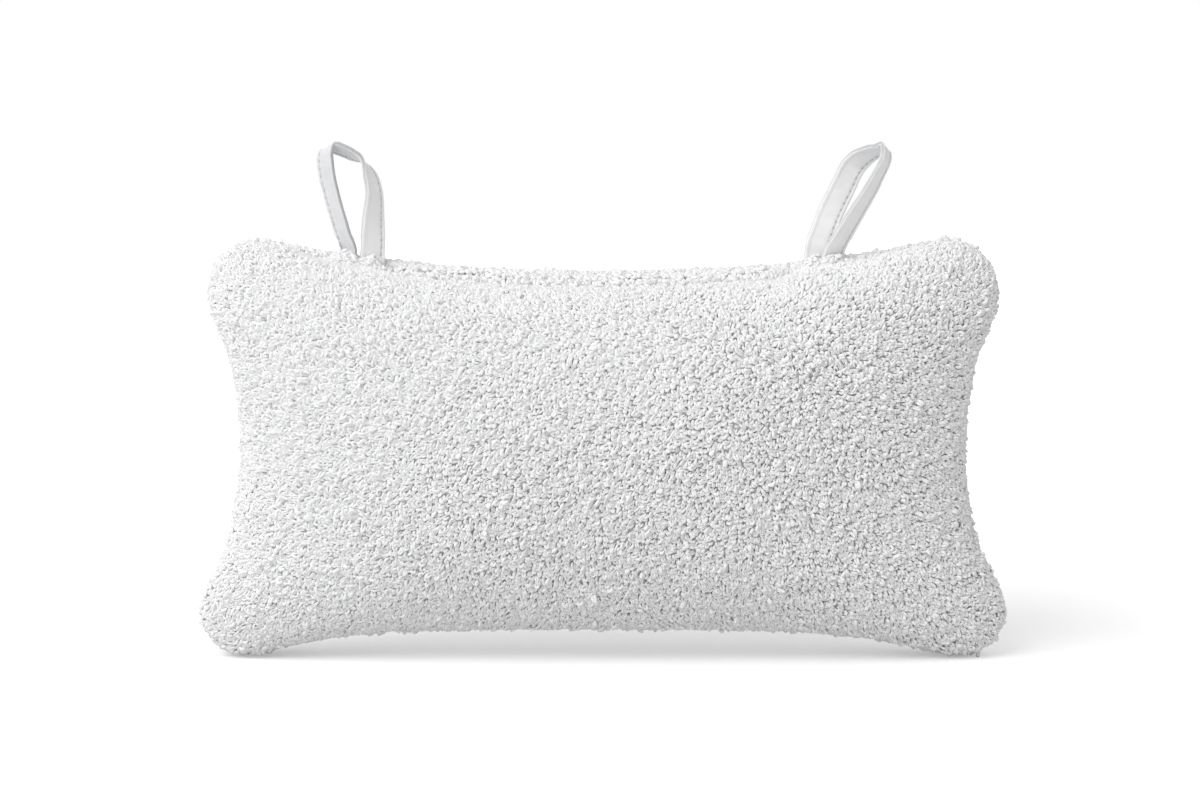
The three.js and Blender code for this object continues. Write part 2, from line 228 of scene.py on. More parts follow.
# Stretches of the tape's section as shares of its flat half, with the points in each
TAPE_STRETCHES = ((-0.98, -0.6, 6), (-0.45, 0.45, 5), (0.55, 0.97, 10))
TAPE_EDGE_POINTS = 5
SECTION_DECIMALS = 7
FOLD_PLACE = -5 * MM
FOLD_END = -4 * MM
FOLD_BULGE = 0.3 * MM
FOLD_REACH = 0.8 * MM

# Stitches along a loop's edge
STITCH_PLACE = 4 * MM
STITCH_GROOVE = 0.6 * MM
STITCH_SINK = 0.3 * MM
STITCH_PITCH = 3.3 * MM
STITCH_LENGTH = 2.4 * MM
STITCH_RADIUS = 0.2 * MM
STITCH_START = 14 * MM
STITCH_HOLE = STITCH_START - (STITCH_PITCH - STITCH_LENGTH) / 2
STITCH_STATIONS = 7
STITCH_SIDES = 8
STITCH_ARCH = 1.6
STITCH_DEPTH = 0.9
HOLE_FROM = 0.2
PUCKER = 0.3
PUCKER_REACH = 3 * STITCH_GROOVE

# Loops' feet: the ground bunches up round them, and curls keep clear of them
FOOT_LUMP = 8.5 * MM
FOOT_LUMP_REACH = 8 * MM
FOOT_LUMP_DEPTH = 8 * MM
FOOT_LUMP_FILL = 0.8
FOOT_CLEAR = 1 * MM
FOOT_NEAR = 20 * MM
FOOT_PROBES = 13


# Meshes

def numbers_of(collection, key, width, kind=float):
    values = np.empty(len(collection) * width, kind)
    collection.foreach_get(key, values)
    return values.reshape(-1, width)


def new_object(name, mesh, material):
    piece = bpy.data.objects.new(name, mesh)
    bpy.context.scene.collection.objects.link(piece)
    if material:
        mesh.materials.append(material)
    mesh.shade_smooth()
    return piece


def mesh_of(name, points, faces):
    mesh = bpy.data.meshes.new(name)
    mesh.from_pydata([tuple(p) for p in points], [], [tuple(f) for f in faces])
    mesh.update()
    return mesh


def mesh_of_arrays(name, points, corner_vertices, face_sizes):
    """A large mesh from flat arrays: the vertex of each corner, and how many corners each face has."""
    mesh = bpy.data.meshes.new(name)
    mesh.vertices.add(len(points))
    mesh.vertices.foreach_set("co", points.astype(np.float32).ravel())
    mesh.loops.add(len(corner_vertices))
    mesh.loops.foreach_set("vertex_index", corner_vertices.astype(np.int32))
    mesh.polygons.add(len(face_sizes))
    starts = np.concatenate([[0], np.cumsum(face_sizes)[:-1]])
    mesh.polygons.foreach_set("loop_start", starts.astype(np.int32))
    mesh.polygons.foreach_set("loop_total", face_sizes.astype(np.int32))
    mesh.update(calc_edges=True)
    return mesh


def unit(vectors):
    return vectors / np.maximum(np.linalg.norm(vectors, axis=-1, keepdims=True), NO_LENGTH)


def ramp(values, start, over):
    """0 up to the start, and then rising evenly to 1."""
    return np.clip((values - start) / over, 0, 1)


def search_tree(points):
    tree = KDTree(len(points))
    for i, point in enumerate(points):
        tree.insert(point, i)
    tree.balance()
    return tree


def tubes(name, centres, plane_normals, radii, sides):
    """Closed tubes along rows of centres. A row bends round its plane normal, so its rings don't twist."""
    along = unit(np.gradient(centres, axis=1))
    upright = plane_normals[:, None, :]
    upright = unit(upright - along * (along * upright).sum(-1, keepdims=True))
    sideways = np.cross(along, upright)
    angles = np.arange(sides) * 2 * math.pi / sides
    ring = (
        upright[:, :, None, :] * np.cos(angles)[:, None]
        + sideways[:, :, None, :] * np.sin(angles)[:, None]
    )
    return tube_mesh(name, centres[:, :, None, :] + radii[:, :, None, None] * ring)


def tube_mesh(name, points):
    """One mesh of closed tubes, from points by tube, station and side."""
    count, stations, sides, _ = points.shape
    k, j = np.meshgrid(np.arange(stations - 1), np.arange(sides), indexing="ij")
    here, beyond, after = k * sides, (k + 1) * sides, (j + 1) % sides
    quads = np.stack([here + j, here + after, beyond + after, beyond + j], -1)
    first = np.arange(sides)[::-1]
    last = (stations - 1) * sides + np.arange(sides)
    one = np.concatenate([quads.reshape(-1), first, last])
    sizes = np.concatenate([np.full(k.size, quads.shape[-1]), [sides, sides]])
    base = (np.arange(count) * stations * sides)[:, None]
    corners = (one[None, :] + base).ravel()
    return mesh_of_arrays(name, points.reshape(-1, 3), corners, np.tile(sizes, count))


# Materials

def node_material(name, colour, roughness, sheen=0.0):
    material = bpy.data.materials.new(name)
    material.use_nodes = True
    shader = material.node_tree.nodes["Principled BSDF"]
    shader.inputs["Base Color"].default_value = (*colour, 1)
    shader.inputs["Roughness"].default_value = roughness
    shader.inputs["Sheen Weight"].default_value = sheen
    shader.inputs["Specular IOR Level"].default_value = SPECULAR_LEVEL
    return material, material.node_tree, shader


def let_light_in(shader, weight, depth):
    shader.inputs["Subsurface Weight"].default_value = weight
    shader.inputs["Subsurface Radius"].default_value = (1, 1, 1)
    shader.inputs["Subsurface Scale"].default_value = depth


def add_node(tree, kind, **settings):
    node = tree.nodes.new(kind)
    for key, value in settings.items():
        if key in node.inputs:
            node.inputs[key].default_value = value
        else:
            setattr(node, key, value)
    return node


def maths(tree, operation, *values):
    """A maths node's result. Each value is a number, or another node's output."""
    node = add_node(tree, "ShaderNodeMath", operation=operation)
    for socket, value in zip(node.inputs, values):
        if isinstance(value, bpy.types.NodeSocket):
            tree.links.new(value, socket)
        else:
            socket.default_value = value
    return node.outputs[0]


def remapped(tree, value, start, end, low=0, high=1, kind="SMOOTHSTEP"):
    """A value taken from the range of start to end to that of low to high, and held at its ends."""
    node = add_node(tree, "ShaderNodeMapRange", interpolation_type=kind)
    tree.links.new(value, node.inputs["Value"])
    for key, number in (("From Min", start), ("From Max", end), ("To Min", low), ("To Max", high)):
        node.inputs[key].default_value = number
    return node.outputs["Result"]


def sum_of(tree, weighted):
    total = 0
    for value, weight in weighted:
        total = maths(tree, "MULTIPLY_ADD", value, weight, total)
    return total


def colour_by(tree, shader, factor, low, high, start=0.3, end=0.7):
    """Drives the base colour between two colours by a factor."""
    ramp_node = add_node(tree, "ShaderNodeValToRGB")
    first, last = ramp_node.color_ramp.elements
    first.position, last.position = start, end
    first.color, last.color = (*low, 1), (*high, 1)
    tree.links.new(factor, ramp_node.inputs["Fac"])
    tree.links.new(ramp_node.outputs["Color"], shader.inputs["Base Color"])


def bump_by(tree, shader, height, strength, distance):
    bump = add_node(tree, "ShaderNodeBump", Strength=strength, Distance=distance)
    tree.links.new(height, bump.inputs["Height"])
    tree.links.new(bump.outputs["Normal"], shader.inputs["Normal"])


def place_of(tree):
    return add_node(tree, "ShaderNodeTexCoord").outputs["Object"]


def map_of(tree, name):
    return add_node(tree, "ShaderNodeUVMap", uv_map=name).outputs["UV"]


def axes_of(tree, vector):
    split = add_node(tree, "ShaderNodeSeparateXYZ")
    tree.links.new(vector, split.inputs[0])
    return split.outputs


def noise_of(tree, place, scale, detail=2.0):
    node = add_node(tree, "ShaderNodeTexNoise", Scale=scale, Detail=detail)
    tree.links.new(place, node.inputs["Vector"])
    return node.outputs["Fac"]


def make_pile_material():
    """Soft yarn of two twisted strands, with fuzz on it."""
    material, tree, shader = node_material("terry_pile", (0.9, 0.9, 0.905), roughness=0.92, sheen=0.15)
    let_light_in(shader, weight=0.4, depth=1 * MM)
    place = place_of(tree)
    colour_by(tree, shader, noise_of(tree, place, scale=260), *PILE_WHITES)
    twist = add_node(tree, "ShaderNodeVectorMath", operation="DOT_PRODUCT")
    twist.inputs[1].default_value = (2 * math.pi, 4 * math.pi, 0)
    tree.links.new(map_of(tree, "yarn"), twist.inputs[0])
    strands = maths(tree, "SINE", twist.outputs["Value"])
    fuzz = noise_of(tree, place, scale=2600, detail=3)
    height = maths(tree, "MULTIPLY_ADD", fuzz, YARN_FUZZ, strands)
    bump_by(tree, shader, height, strength=0.5, distance=0.1 * MM)
    return material


def make_ground_material():
    material, tree, shader = node_material("terry_ground", (0.9, 0.9, 0.9), roughness=0.95)
    place = place_of(tree)
    colour_by(tree, shader, noise_of(tree, place, scale=500), *GROUND_WHITES)
    bump_by(tree, shader, noise_of(tree, place, scale=900, detail=3), strength=1, distance=1.2 * MM)
    return material


def near_line(tree, across, line, reach):
    """1 on a line along the tape, falling to 0 at a reach from it. All are in millimetres."""
    away = maths(tree, "ABSOLUTE", maths(tree, "SUBTRACT", across, line))
    return remapped(tree, away, 0, reach, 1, 0)


def holes_along(tree, along):
    """1 at each needle hole of the stitch line and 0 between them, from the place along in millimetres."""
    turn = 2 * math.pi * MM / STITCH_PITCH
    phase = maths(tree, "MULTIPLY_ADD", along, turn, -turn * STITCH_HOLE / MM)
    return remapped(tree, maths(tree, "COSINE", phase), HOLE_FROM, 1)


def threads_along(tree, value, pitch):
    return maths(tree, "SINE", maths(tree, "MULTIPLY", value, 2 * math.pi * MM / pitch))


def make_tape_material():
    """Woven cotton: warp along the tape, weft across it, random mottle, and painted shade along its edges,
    stitch groove, fold and needle holes and on its rear leg, more on the left loop's.
    """
    material, tree, shader = node_material("cotton_tape", (0.83, 0.83, 0.838), roughness=0.6, sheen=0.2)
    let_light_in(shader, weight=0.9, depth=1.5 * MM)
    across, along, _ = axes_of(tree, map_of(tree, "tape"))
    # Painted shade along the tape's stitched and folded edges
    stitched_edge_shade = near_line(tree, across, TAPE_WIDTH / 2 / MM, reach=0.7)
    folded_edge_shade = near_line(tree, across, -TAPE_WIDTH / 2 / MM, reach=0.5)
    # Painted shade in the stitch groove, along the fold and in the needle holes; the fold also sinks the
    # bump
    groove = near_line(tree, across, STITCH_PLACE / MM, reach=0.7)
    fold = near_line(tree, across, FOLD_END / MM, reach=0.6)
    needle_hole_shade = maths(tree, "MULTIPLY", groove, holes_along(tree, along))
    mottle = noise_of(tree, place_of(tree), scale=220)
    # Painted shade on the rear leg, full on the left loop and a share of it on the right
    rear = remapped(tree, along, REAR_END / MM, FRONT_START / MM, 1, 0)
    from_middle = axes_of(tree, place_of(tree))["X"]
    left = remapped(tree, from_middle, -SHADED_SIDE_TO, SHADED_SIDE_TO, 1, RIGHT_REAR_SHARE, kind="LINEAR")
    # Random mottle lightens the tape; all the other terms are painted shade
    mottle_and_painted_shade = sum_of(tree, (
        (mottle, -0.3),
        (stitched_edge_shade, 0.8),
        (folded_edge_shade, 0.8),
        (groove, 0.12),
        (fold, 0.12),
        (needle_hole_shade, 1.1),
        (maths(tree, "MULTIPLY", rear, left), 0.55),
    ))
    colour_by(tree, shader, mottle_and_painted_shade, TAPE_PLAIN_WHITE, TAPE_PAINTED_SHADE_GREY, start=0, end=1)
    height = sum_of(tree, (
        (threads_along(tree, across, WARP_PITCH), 0.5),
        (threads_along(tree, along, WEFT_PITCH), 0.25),
        (noise_of(tree, place_of(tree), scale=3200), 0.8),
        (fold, -2),
    ))
    bump_by(tree, shader, height, strength=0.5, distance=0.08 * MM)
    return material


def make_thread_material():
    material, tree, shader = node_material("sewing_thread", (0.78, 0.78, 0.79), roughness=0.5)
    place = place_of(tree)
    colour_by(tree, shader, noise_of(tree, place, scale=2500), *THREAD_GREYS)
    bump_by(tree, shader, noise_of(tree, place, scale=5200), strength=0.3, distance=0.1 * MM)
    return material


def make_plain_material(name, low, high, scale, roughness):
    material, tree, shader = node_material(name, high, roughness)
    place = place_of(tree)
    colour_by(tree, shader, noise_of(tree, place, scale), low, high)
    bump_by(tree, shader, noise_of(tree, place, 3 * scale, detail=3), strength=0.5, distance=0.4 * MM)
    return material


PILE = make_pile_material()
GROUND = make_ground_material()
TAPE = make_tape_material()
THREAD = make_thread_material()
NONWOVEN = make_plain_material("nonwoven_case", *CASE_WHITES, scale=900, roughness=0.85)
FIBRE = make_plain_material("fibre_fill", *FIBRE_WHITES, scale=300, roughness=1)
INNER_FINISHES = {
    "inner_case_front": NONWOVEN,
    "inner_case_back": NONWOVEN,
    "fibre_fill": FIBRE,
    "seam_overlock": THREAD,
    "seam_needle_thread": THREAD,
    "seam_bobbin_thread": THREAD,
}


def finish_inner_pieces():
    for name, material in INNER_FINISHES.items():
        mesh = frame["nodes"][name].data
        mesh.materials.clear()
        mesh.materials.append(material)


# The cushion's shape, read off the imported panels

def scan_panels():
    """Rows of points on the cushion's outside, by rays towards its middle, from one face to the other."""
    points, faces = [], []
    for name in ("terry_front_panel", "terry_back_panel"):
        mesh = frame["nodes"][name].data
        start = len(points)
        points.extend(v.co.copy() for v in mesh.vertices)
        faces.extend([start + i for i in p.vertices] for p in mesh.polygons)
    tree = BVHTree.FromPolygons(points, faces)
    low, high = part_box("terry_back_panel")
    middle = Vector((0, 0, (low.z + high.z) / 2))
    reach, depth = high.x, high.y
    turns = np.linspace(*SCAN_TURNS, SCAN_ROWS)
    rows = []
    for side, side_turns in ((-1, turns[::-1]), (1, turns)):
        for turn in side_turns:
            lift = math.atan2(depth * math.sin(turn), reach * math.cos(turn))
            row = []
            for k in range(SCAN_AROUND):
                angle = 2 * math.pi * k / SCAN_AROUND
                away = Vector((
                    math.cos(lift) * math.cos(angle),
                    side * math.sin(lift),
                    math.cos(lift) * math.sin(angle),
                ))
                row.append(fuller(tree.ray_cast(middle + away, -away)[0], reach))
            rows.append(row)
    return middle, rows


def fuller(point, reach):
    """Moves a point of the rim out to where the pile fills the lower ears and the left side."""
    low = float(np.clip((EAR_TOP - point.z) / (EAR_TOP - EAR_FOOT), 0, 1))
    out = float(np.clip((abs(point.x) - EAR_FROM) / (reach - EAR_FROM), 0, 1))
    wider = EAR_WIDER * low * low * (3 - 2 * low)
    if point.x < 0:
        wider += SIDE_LUMP * math.exp(-((point.z - SIDE_LUMP_HEIGHT) / SIDE_LUMP_REACH) ** 2)
    return point + Vector((math.copysign(wider * out, point.x), 0, 0))


def closed_skin(middle, rows):
    """A closed mesh through the rows, with a pole in the middle of each face."""
    depths = [sum(p.y for p in row) / len(row) for row in (rows[0], rows[-1])]
    points = [p for row in rows for p in row]
    poles = [Vector((middle.x, depth * POLE_OUT, middle.z)) for depth in depths]
    faces = []
    for k in range(len(rows) - 1):
        a, b = k * SCAN_AROUND, (k + 1) * SCAN_AROUND
        for i in range(SCAN_AROUND):
            after = (i + 1) % SCAN_AROUND
            faces.append((a + i, b + i, b + after, a + after))
    first_pole, last = len(points), len(points) - SCAN_AROUND
    for i in range(SCAN_AROUND):
        faces.append((first_pole, i, (i + 1) % SCAN_AROUND))
    for i in range(SCAN_AROUND):
        faces.append((first_pole + 1, last + (i + 1) % SCAN_AROUND, last + i))
    return mesh_of("cushion", points + poles, faces)


def apply_modifiers(piece):
    graph = bpy.context.evaluated_depsgraph_get()
    mesh = bpy.data.meshes.new_from_object(piece.evaluated_get(graph))
    old = piece.data
    piece.modifiers.clear()
    piece.data = mesh
    bpy.data.meshes.remove(old)


def smooth_faces(piece):
    """Smooths the two crowned faces and leaves the outline as it is."""
    faces = piece.vertex_groups.new(name="faces")
    for i, point in enumerate(numbers_of(piece.data.vertices, "co", 3)):
        faces.add([i], float(ramp(abs(point[1]), SMOOTH_FROM, SMOOTH_OVER)), "REPLACE")
    smooth = piece.modifiers.new("smooth", "SMOOTH")
    smooth.factor = SMOOTHING
    smooth.iterations = SMOOTH_ROUNDS
    smooth.vertex_group = faces.name
    apply_modifiers(piece)
    piece.vertex_groups.clear()


def draw_in(piece, distance):
    points = numbers_of(piece.data.vertices, "co", 3)
    normals = numbers_of(piece.data.vertices, "normal", 3)
    piece.data.vertices.foreach_set("co", (points - distance * normals).ravel())
    piece.data.update()


def remesh(piece, size):
    voxels = piece.modifiers.new("voxels", "REMESH")
    voxels.mode = "VOXEL"
    voxels.voxel_size = size
    apply_modifiers(piece)


def inflate(piece):
    """Blows the skin up as cloth, with the seam held and each point's travel capped."""
    start = numbers_of(piece.data.vertices, "co", 3)
    normals = numbers_of(piece.data.vertices, "normal", 3)
    held = piece.vertex_groups.new(name="held")
    for i, point in enumerate(start):
        held.add([i], float(np.clip(HELD - abs(point[1]) / HELD_REACH, 0, 1)), "REPLACE")
    cloth = piece.modifiers.new("cloth", "CLOTH")
    settings = cloth.settings
    settings.quality = CLOTH_QUALITY
    settings.mass = CLOTH_MASS
    settings.use_pressure = True
    settings.uniform_pressure_force = PRESSURE
    settings.effector_weights.gravity = 0
    settings.vertex_group_mass = held.name
    cloth.point_cache.frame_start = 1
    cloth.point_cache.frame_end = CLOTH_FRAMES
    for step in range(1, CLOTH_FRAMES + 1):
        bpy.context.scene.frame_set(step)
    apply_modifiers(piece)
    bpy.context.scene.frame_set(1)
    moved = numbers_of(piece.data.vertices, "co", 3) - start
    outward = (moved * normals).sum(1, keepdims=True)
    across = moved - outward * normals
    kept = np.clip(outward, -MOST_DRAW_IN, MOST_SWELL) * normals + across
    piece.data.vertices.foreach_set("co", (start + kept).ravel())
    piece.data.update()
    piece.vertex_groups.clear()


def subdivide(piece):
    levels = piece.modifiers.new("levels", "SUBSURF")
    levels.levels = 1
    levels.render_levels = 1
    apply_modifiers(piece)


def make_cushion():
    middle, rows = scan_panels()
    cushion = new_object("cushion", closed_skin(middle, rows), None)
    smooth_faces(cushion)
    draw_in(cushion, PILE_HEIGHT)
    remesh(cushion, VOXEL)
    inflate(cushion)
    subdivide(cushion)
    return cushion, middle


def read_roll():
    """How far the back panel stands above the front one along the top edge, by place across."""
    tops = []
    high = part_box("terry_back_panel")[1]
    places = np.linspace(-high.x, high.x, ROLL_SAMPLES)
    for name, depths in (("terry_front_panel", (-TERRY,)), ("terry_back_panel", ROLL_DEPTHS)):
        mesh = frame["nodes"][name].data
        tree = BVHTree.FromPolygons([v.co for v in mesh.vertices], [p.vertices for p in mesh.polygons])
        hits = [[tree.ray_cast(Vector((x, y, 1)), Vector((0, 0, -1)))[0] for y in depths] for x in places]
        tops.append(np.array([max([h.z for h in row if h] or [0]) for row in hits]))
    return places, np.clip(tops[1] - tops[0], 0, None)


def turned_in(normal, depth, reach):
    """Which way the rim turns in, how near the seam a point of it is, and how far it has turned there."""
    share = 1 - depth / reach
    return Vector((-normal.x, 0, -normal.z)).normalized(), share, 1 - math.sqrt(1 - share ** 2)


def shape_front(point, normal, spare, feet, middle):
    """The front drops under the roll, bunches up at the loops' feet and turns into the seam."""
    depth = abs(point.y)
    point.z -= FRONT_DROP * spare * max(0, 1 - depth / FRONT_DROP_REACH)
    lump = max(math.exp(-((point.x - x) / FOOT_LUMP_REACH) ** 2) for x in feet)
    bunched = max(0, math.cos(math.pi / 2 * min(1, depth / FOOT_LUMP_DEPTH)))
    point.z += FOOT_LUMP * lump * bunched * (point.z > middle.z)
    if depth < TERRY:
        inward, share, turn = turned_in(normal, depth, TERRY)
        point += inward * (RIM_DEPTH * turn + spare * share / 2) * (1 - FOOT_LUMP_FILL * lump)


def shape_back(point, normal, spare):
    """The back rolls over the seam, except where the loops come out, and turns into it."""
    depth = abs(point.y)
    reach = TERRY + ROLL_REACH * spare
    if depth < reach:
        inward, share, turn = turned_in(normal, depth, reach)
        point += inward * (RIM_DEPTH + spare) * turn
        off_loops = min(abs(point.x - pivot[0]) for pivot, _ in loops.values()) - TAPE_WIDTH
        bulge = ROLL_BULGE * spare * float(np.clip(off_loops / TAPE_WIDTH, 0, 1))
        point.y -= bulge * math.sin(math.pi * share)


def half_of(cushion, side, name, middle, roll):
    """The half on one side of the seam's plane, with its rim turned down into the seam."""
    shape = bmesh.new()
    shape.from_mesh(cushion.data)
    for share in (0, *RIM_CUT_SHARES):
        bmesh.ops.bisect_plane(
            shape, geom=shape.verts[:] + shape.edges[:] + shape.faces[:], dist=CUT_TOLERANCE,
            plane_co=(0, side * share * RIM_CUTS, 0), plane_no=(0, side, 0), clear_inner=share == 0,
        )
    shape.normal_update()
    feet = [frames[0][end][0] for _, frames in loops.values() for end in (0, -1)]
    for vert in shape.verts:
        normal = vert.normal
        top = max(0, normal.z) ** 0.5 if vert.co.z > middle.z else 0
        spare = top * float(np.interp(vert.co.x, *roll))
        if side < 0:
            shape_front(vert.co, normal, spare, feet, middle)
        else:
            shape_back(vert.co, normal, spare)
    for vert in {v for e in shape.edges if e.is_boundary for v in e.verts}:
        vert.co.y = side * SEAM_GAP
    mesh = bpy.data.meshes.new(name)
    shape.to_mesh(mesh)
    shape.free()
    return mesh


# Scattering and curls

def scatter(mesh, spacing, rng):
    """Points on a mesh that lie at least a spacing apart, with the surface's normal at each."""
    mesh.calc_loop_triangles()
    triangles = numbers_of(mesh.loop_triangles, "vertices", 3, np.int32)
    points = numbers_of(mesh.vertices, "co", 3)
    normals = numbers_of(mesh.vertices, "normal", 3)
    a, b, c = (points[triangles[:, i]] for i in range(3))
    areas = np.linalg.norm(np.cross(b - a, c - a), axis=1) / 2
    count = int(SCATTER_TRIES * areas.sum() / spacing ** 2)
    picks = rng.choice(len(areas), count, p=areas / areas.sum())
    shares = rng.random((count, 2))
    flip = shares.sum(1) > 1
    shares[flip] = 1 - shares[flip]
    u, v = shares[:, :1], shares[:, 1:]
    weights = np.stack([1 - u - v, u, v])
    corners = triangles[picks].T
    places = (weights * points[corners]).sum(0)
    ups = unit((weights * normals[corners]).sum(0))
    kept = kept_apart(places, spacing)
    return places[kept], ups[kept]


def kept_apart(places, spacing):
    """Which places to keep, first come first served, so that none is nearer to another than the spacing."""
    cells = {}
    kept = []
    rows = places.tolist()
    around = [(i, j, k) for i in (-1, 0, 1) for j in (-1, 0, 1) for k in (-1, 0, 1)]
    limit = spacing ** 2

    def is_crowded(x, y, z, cell):
        for step in around:
            for m in cells.get((cell[0] + step[0], cell[1] + step[1], cell[2] + step[2]), ()):
                p = rows[m]
                if (x - p[0]) ** 2 + (y - p[1]) ** 2 + (z - p[2]) ** 2 < limit:
                    return True
        return False

    for n, cell in enumerate(np.floor(places / spacing).astype(int).tolist()):
        if not is_crowded(*rows[n], cell):
            cells.setdefault(tuple(cell), []).append(n)
            kept.append(n)
    return kept


def curls(name, roots, ups, leans, plump, flat, sunk, rng):
    """Hairpins of yarn that lean over from the ground fabric, with both ends rooted in it."""
    count = len(roots)
    sides = np.cross(ups, leans)
    yarn = YARN_RADIUS * plump[:, None] * np.exp(rng.normal(0, YARN_SPREAD, (count, 1)))
    reach = CURL_REACH * plump[:, None] * np.exp(rng.normal(0, CURL_REACH_SPREAD, (count, 1)))
    spread = yarn * rng.uniform(*CURL_LEG_SHARES, (count, 1))
    rise = CURL_RISE * flat[:, None] * rng.uniform(*CURL_RISE_SHARES, (count, 1))
    roll = rng.normal(0, CURL_ROLL, (count, 1)) * flat[:, None]
    bend = rng.normal(0, CURL_BEND, (count, 1))
    turn = np.linspace(-CURL_TURN, CURL_TURN, CURL_STATIONS)[None, :]
    t = np.linspace(0, 1, CURL_STATIONS)[None, :]
    out = reach * np.cos(turn)
    apart = spread * np.sin(turn) + bend * (out + reach) ** 2 / (2 * reach)
    lift = rise * np.sin(math.pi * t) ** CURL_ARCH + np.abs(np.sin(roll)) * spread - CURL_ROOT_DEPTH
    centres = (
        roots[:, None, :]
        + out[:, :, None] * leans[:, None, :]
        + (apart * np.cos(roll))[:, :, None] * sides[:, None, :]
        + (lift + apart * np.sin(roll))[:, :, None] * ups[:, None, :]
    )
    lumps = np.array([noise_vector(Vector(root) * PILE_LUMP_SCALE)[0] for root in roots])
    centres += ((PILE_LUMP * lumps - sunk)[:, None] * ups)[:, None, :]
    planes = ups * np.cos(roll) - sides * np.sin(roll)
    radii = yarn * (YARN_END_SHARE + YARN_MIDDLE_MORE * np.sin(math.pi * t))
    free = clear_of_tapes(centres, radii)
    centres, planes, radii = centres[free], planes[free], radii[free]
    piece = tubes(name, centres, planes, radii, CURL_SIDES)
    lay_out_yarn(piece, np.linalg.norm(np.diff(centres, axis=1), axis=2).sum(1))
    return piece


def clear_of_tapes(centres, radii):
    """Which curls keep out of the loops' feet."""
    free = np.ones(len(centres), bool)
    widths = np.linspace(-1, 1, FOOT_PROBES) * TAPE_WIDTH / 2
    for pivot, (places, _, across, _, _) in loops.values():
        foot = places[:, 2] < pivot[2] + FOOT_NEAR / 2
        sideways = widths[None, :, None] * across[foot][:, None, :]
        tree = search_tree((places[foot][:, None, :] + sideways).reshape(-1, 3))
        near = np.abs(centres[:, 0, 0] - pivot[0]) < FOOT_NEAR
        near &= np.abs(centres[:, 0, 1]) < FOOT_NEAR
        near &= centres[:, 0, 2] > pivot[2] - FOOT_NEAR
        for n in np.flatnonzero(near):
            least = TAPE_THICKNESS / 2 + radii[n] - FOOT_CLEAR
            free[n] &= all(tree.find(place)[2] >= room for place, room in zip(centres[n], least))
    return free


def lay_out_yarn(mesh, lengths):
    """Two maps: one gives each curl a cell of its own, the other runs along the yarn and round it."""
    k, j = np.meshgrid(np.arange(CURL_STATIONS - 1), np.arange(CURL_SIDES), indexing="ij")
    quads = np.stack([k, j, k, j + 1, k + 1, j + 1, k + 1, j], -1).reshape(-1, 2)
    around = np.arange(CURL_SIDES)
    first = np.stack([0 * around, around[::-1]], -1)
    last = np.stack([0 * around + CURL_STATIONS - 1, around], -1)
    one = np.concatenate([quads, first, last]) / (CURL_STATIONS - 1, CURL_SIDES)
    cells = np.stack(np.divmod(np.arange(len(lengths)), BAKE_CELLS), -1)
    inset = BAKE_MARGIN + (1 - 2 * BAKE_MARGIN) * one
    baked = (cells[:, None, :] + inset[None]) / BAKE_CELLS
    yarn = np.repeat(one[None], len(lengths), 0)
    yarn[:, :, 0] *= lengths[:, None] / PLY_PITCH
    for name, values in (("OFBake", baked), ("yarn", yarn)):
        layer = mesh.uv_layers.new(name=name)
        layer.data.foreach_set("uv", values.astype(np.float32).ravel())


def seam_distance(mesh, roots):
    edges = numbers_of(mesh.edges, "vertices", 2, np.int32)
    points = numbers_of(mesh.vertices, "co", 3)
    rim = np.abs(points[:, 1]) < 2 * SEAM_GAP
    ends = points[edges[rim[edges].all(1)]]
    line = np.stack([ends[:, 0], (ends[:, 0] + ends[:, 1]) / 2], 1)
    tree = search_tree(line.reshape(-1, 3))
    return np.array([tree.find(root)[2] for root in roots])


def combed(roots, middle_height):
    """Which way the pile is brushed: slanting in the middle, and outward from it towards the edges."""
    across = roots[:, 0] / np.abs(roots[:, 0]).max()
    up = (roots[:, 2] - middle_height) / (roots[:, 2].max() / 2)
    outward = np.stack([across, 0 * across, up], -1)
    share = ramp(np.linalg.norm(outward, axis=1, keepdims=True), COMBED_FROM, COMBED_OVER)
    return (1 - share) * np.array(COMBED_MIDDLE) + share * COMBED_OUTWARD * unit(outward)


def clump_middles(roots, rng):
    """One root in each cell of the clump spacing, picked at random."""
    taken = set()
    middles = []
    for n in rng.permutation(len(roots)):
        cell = tuple(np.floor(roots[n] / CLUMP_SPACING).astype(int))
        if cell not in taken:
            taken.add(cell)
            middles.append(n)
    return roots[middles]


def swirl_at(place):
    fine = noise_vector(place * FINE_SWIRL_SCALE) * FINE_SWIRL
    return fine + noise_vector(place * BROAD_SWIRL_SCALE) * BROAD_SWIRL


def lean_ways(roots, ups, far, side, middle_height, rng):
    """Which way each curl leans: towards its clump, along the clump's own way and a little at random."""
    clumps = clump_middles(roots, rng)
    tree = search_tree(clumps)
    swirls = [swirl_at(Vector(place)) for place in clumps]
    ways = np.empty_like(roots)
    for i, root in enumerate(roots):
        place, clump, _ = tree.find(root)
        ways[i] = (place - Vector(root)) * CLUMP_PULL + swirls[clump]
    ways += COMBED_PULL * combed(roots, middle_height)
    ways += rng.normal(0, LEAN_SPREAD, ways.shape)
    beside_seam = np.clip(1 - far / PARTING, 0, 1)
    hanging = (roots[:, 2] > middle_height) & (np.abs(ups[:, 2]) > HANGING_TILT) & (side > 0)
    ways[:, 1] += SEAM_PULL * side * np.where(hanging, HANGING_BACK, 1) * beside_seam
    ways[:, 2] -= np.where(hanging, HANGING_DOWN, 0) * beside_seam
    ways -= ups * (ways * ups).sum(1, keepdims=True)
    return unit(ways)


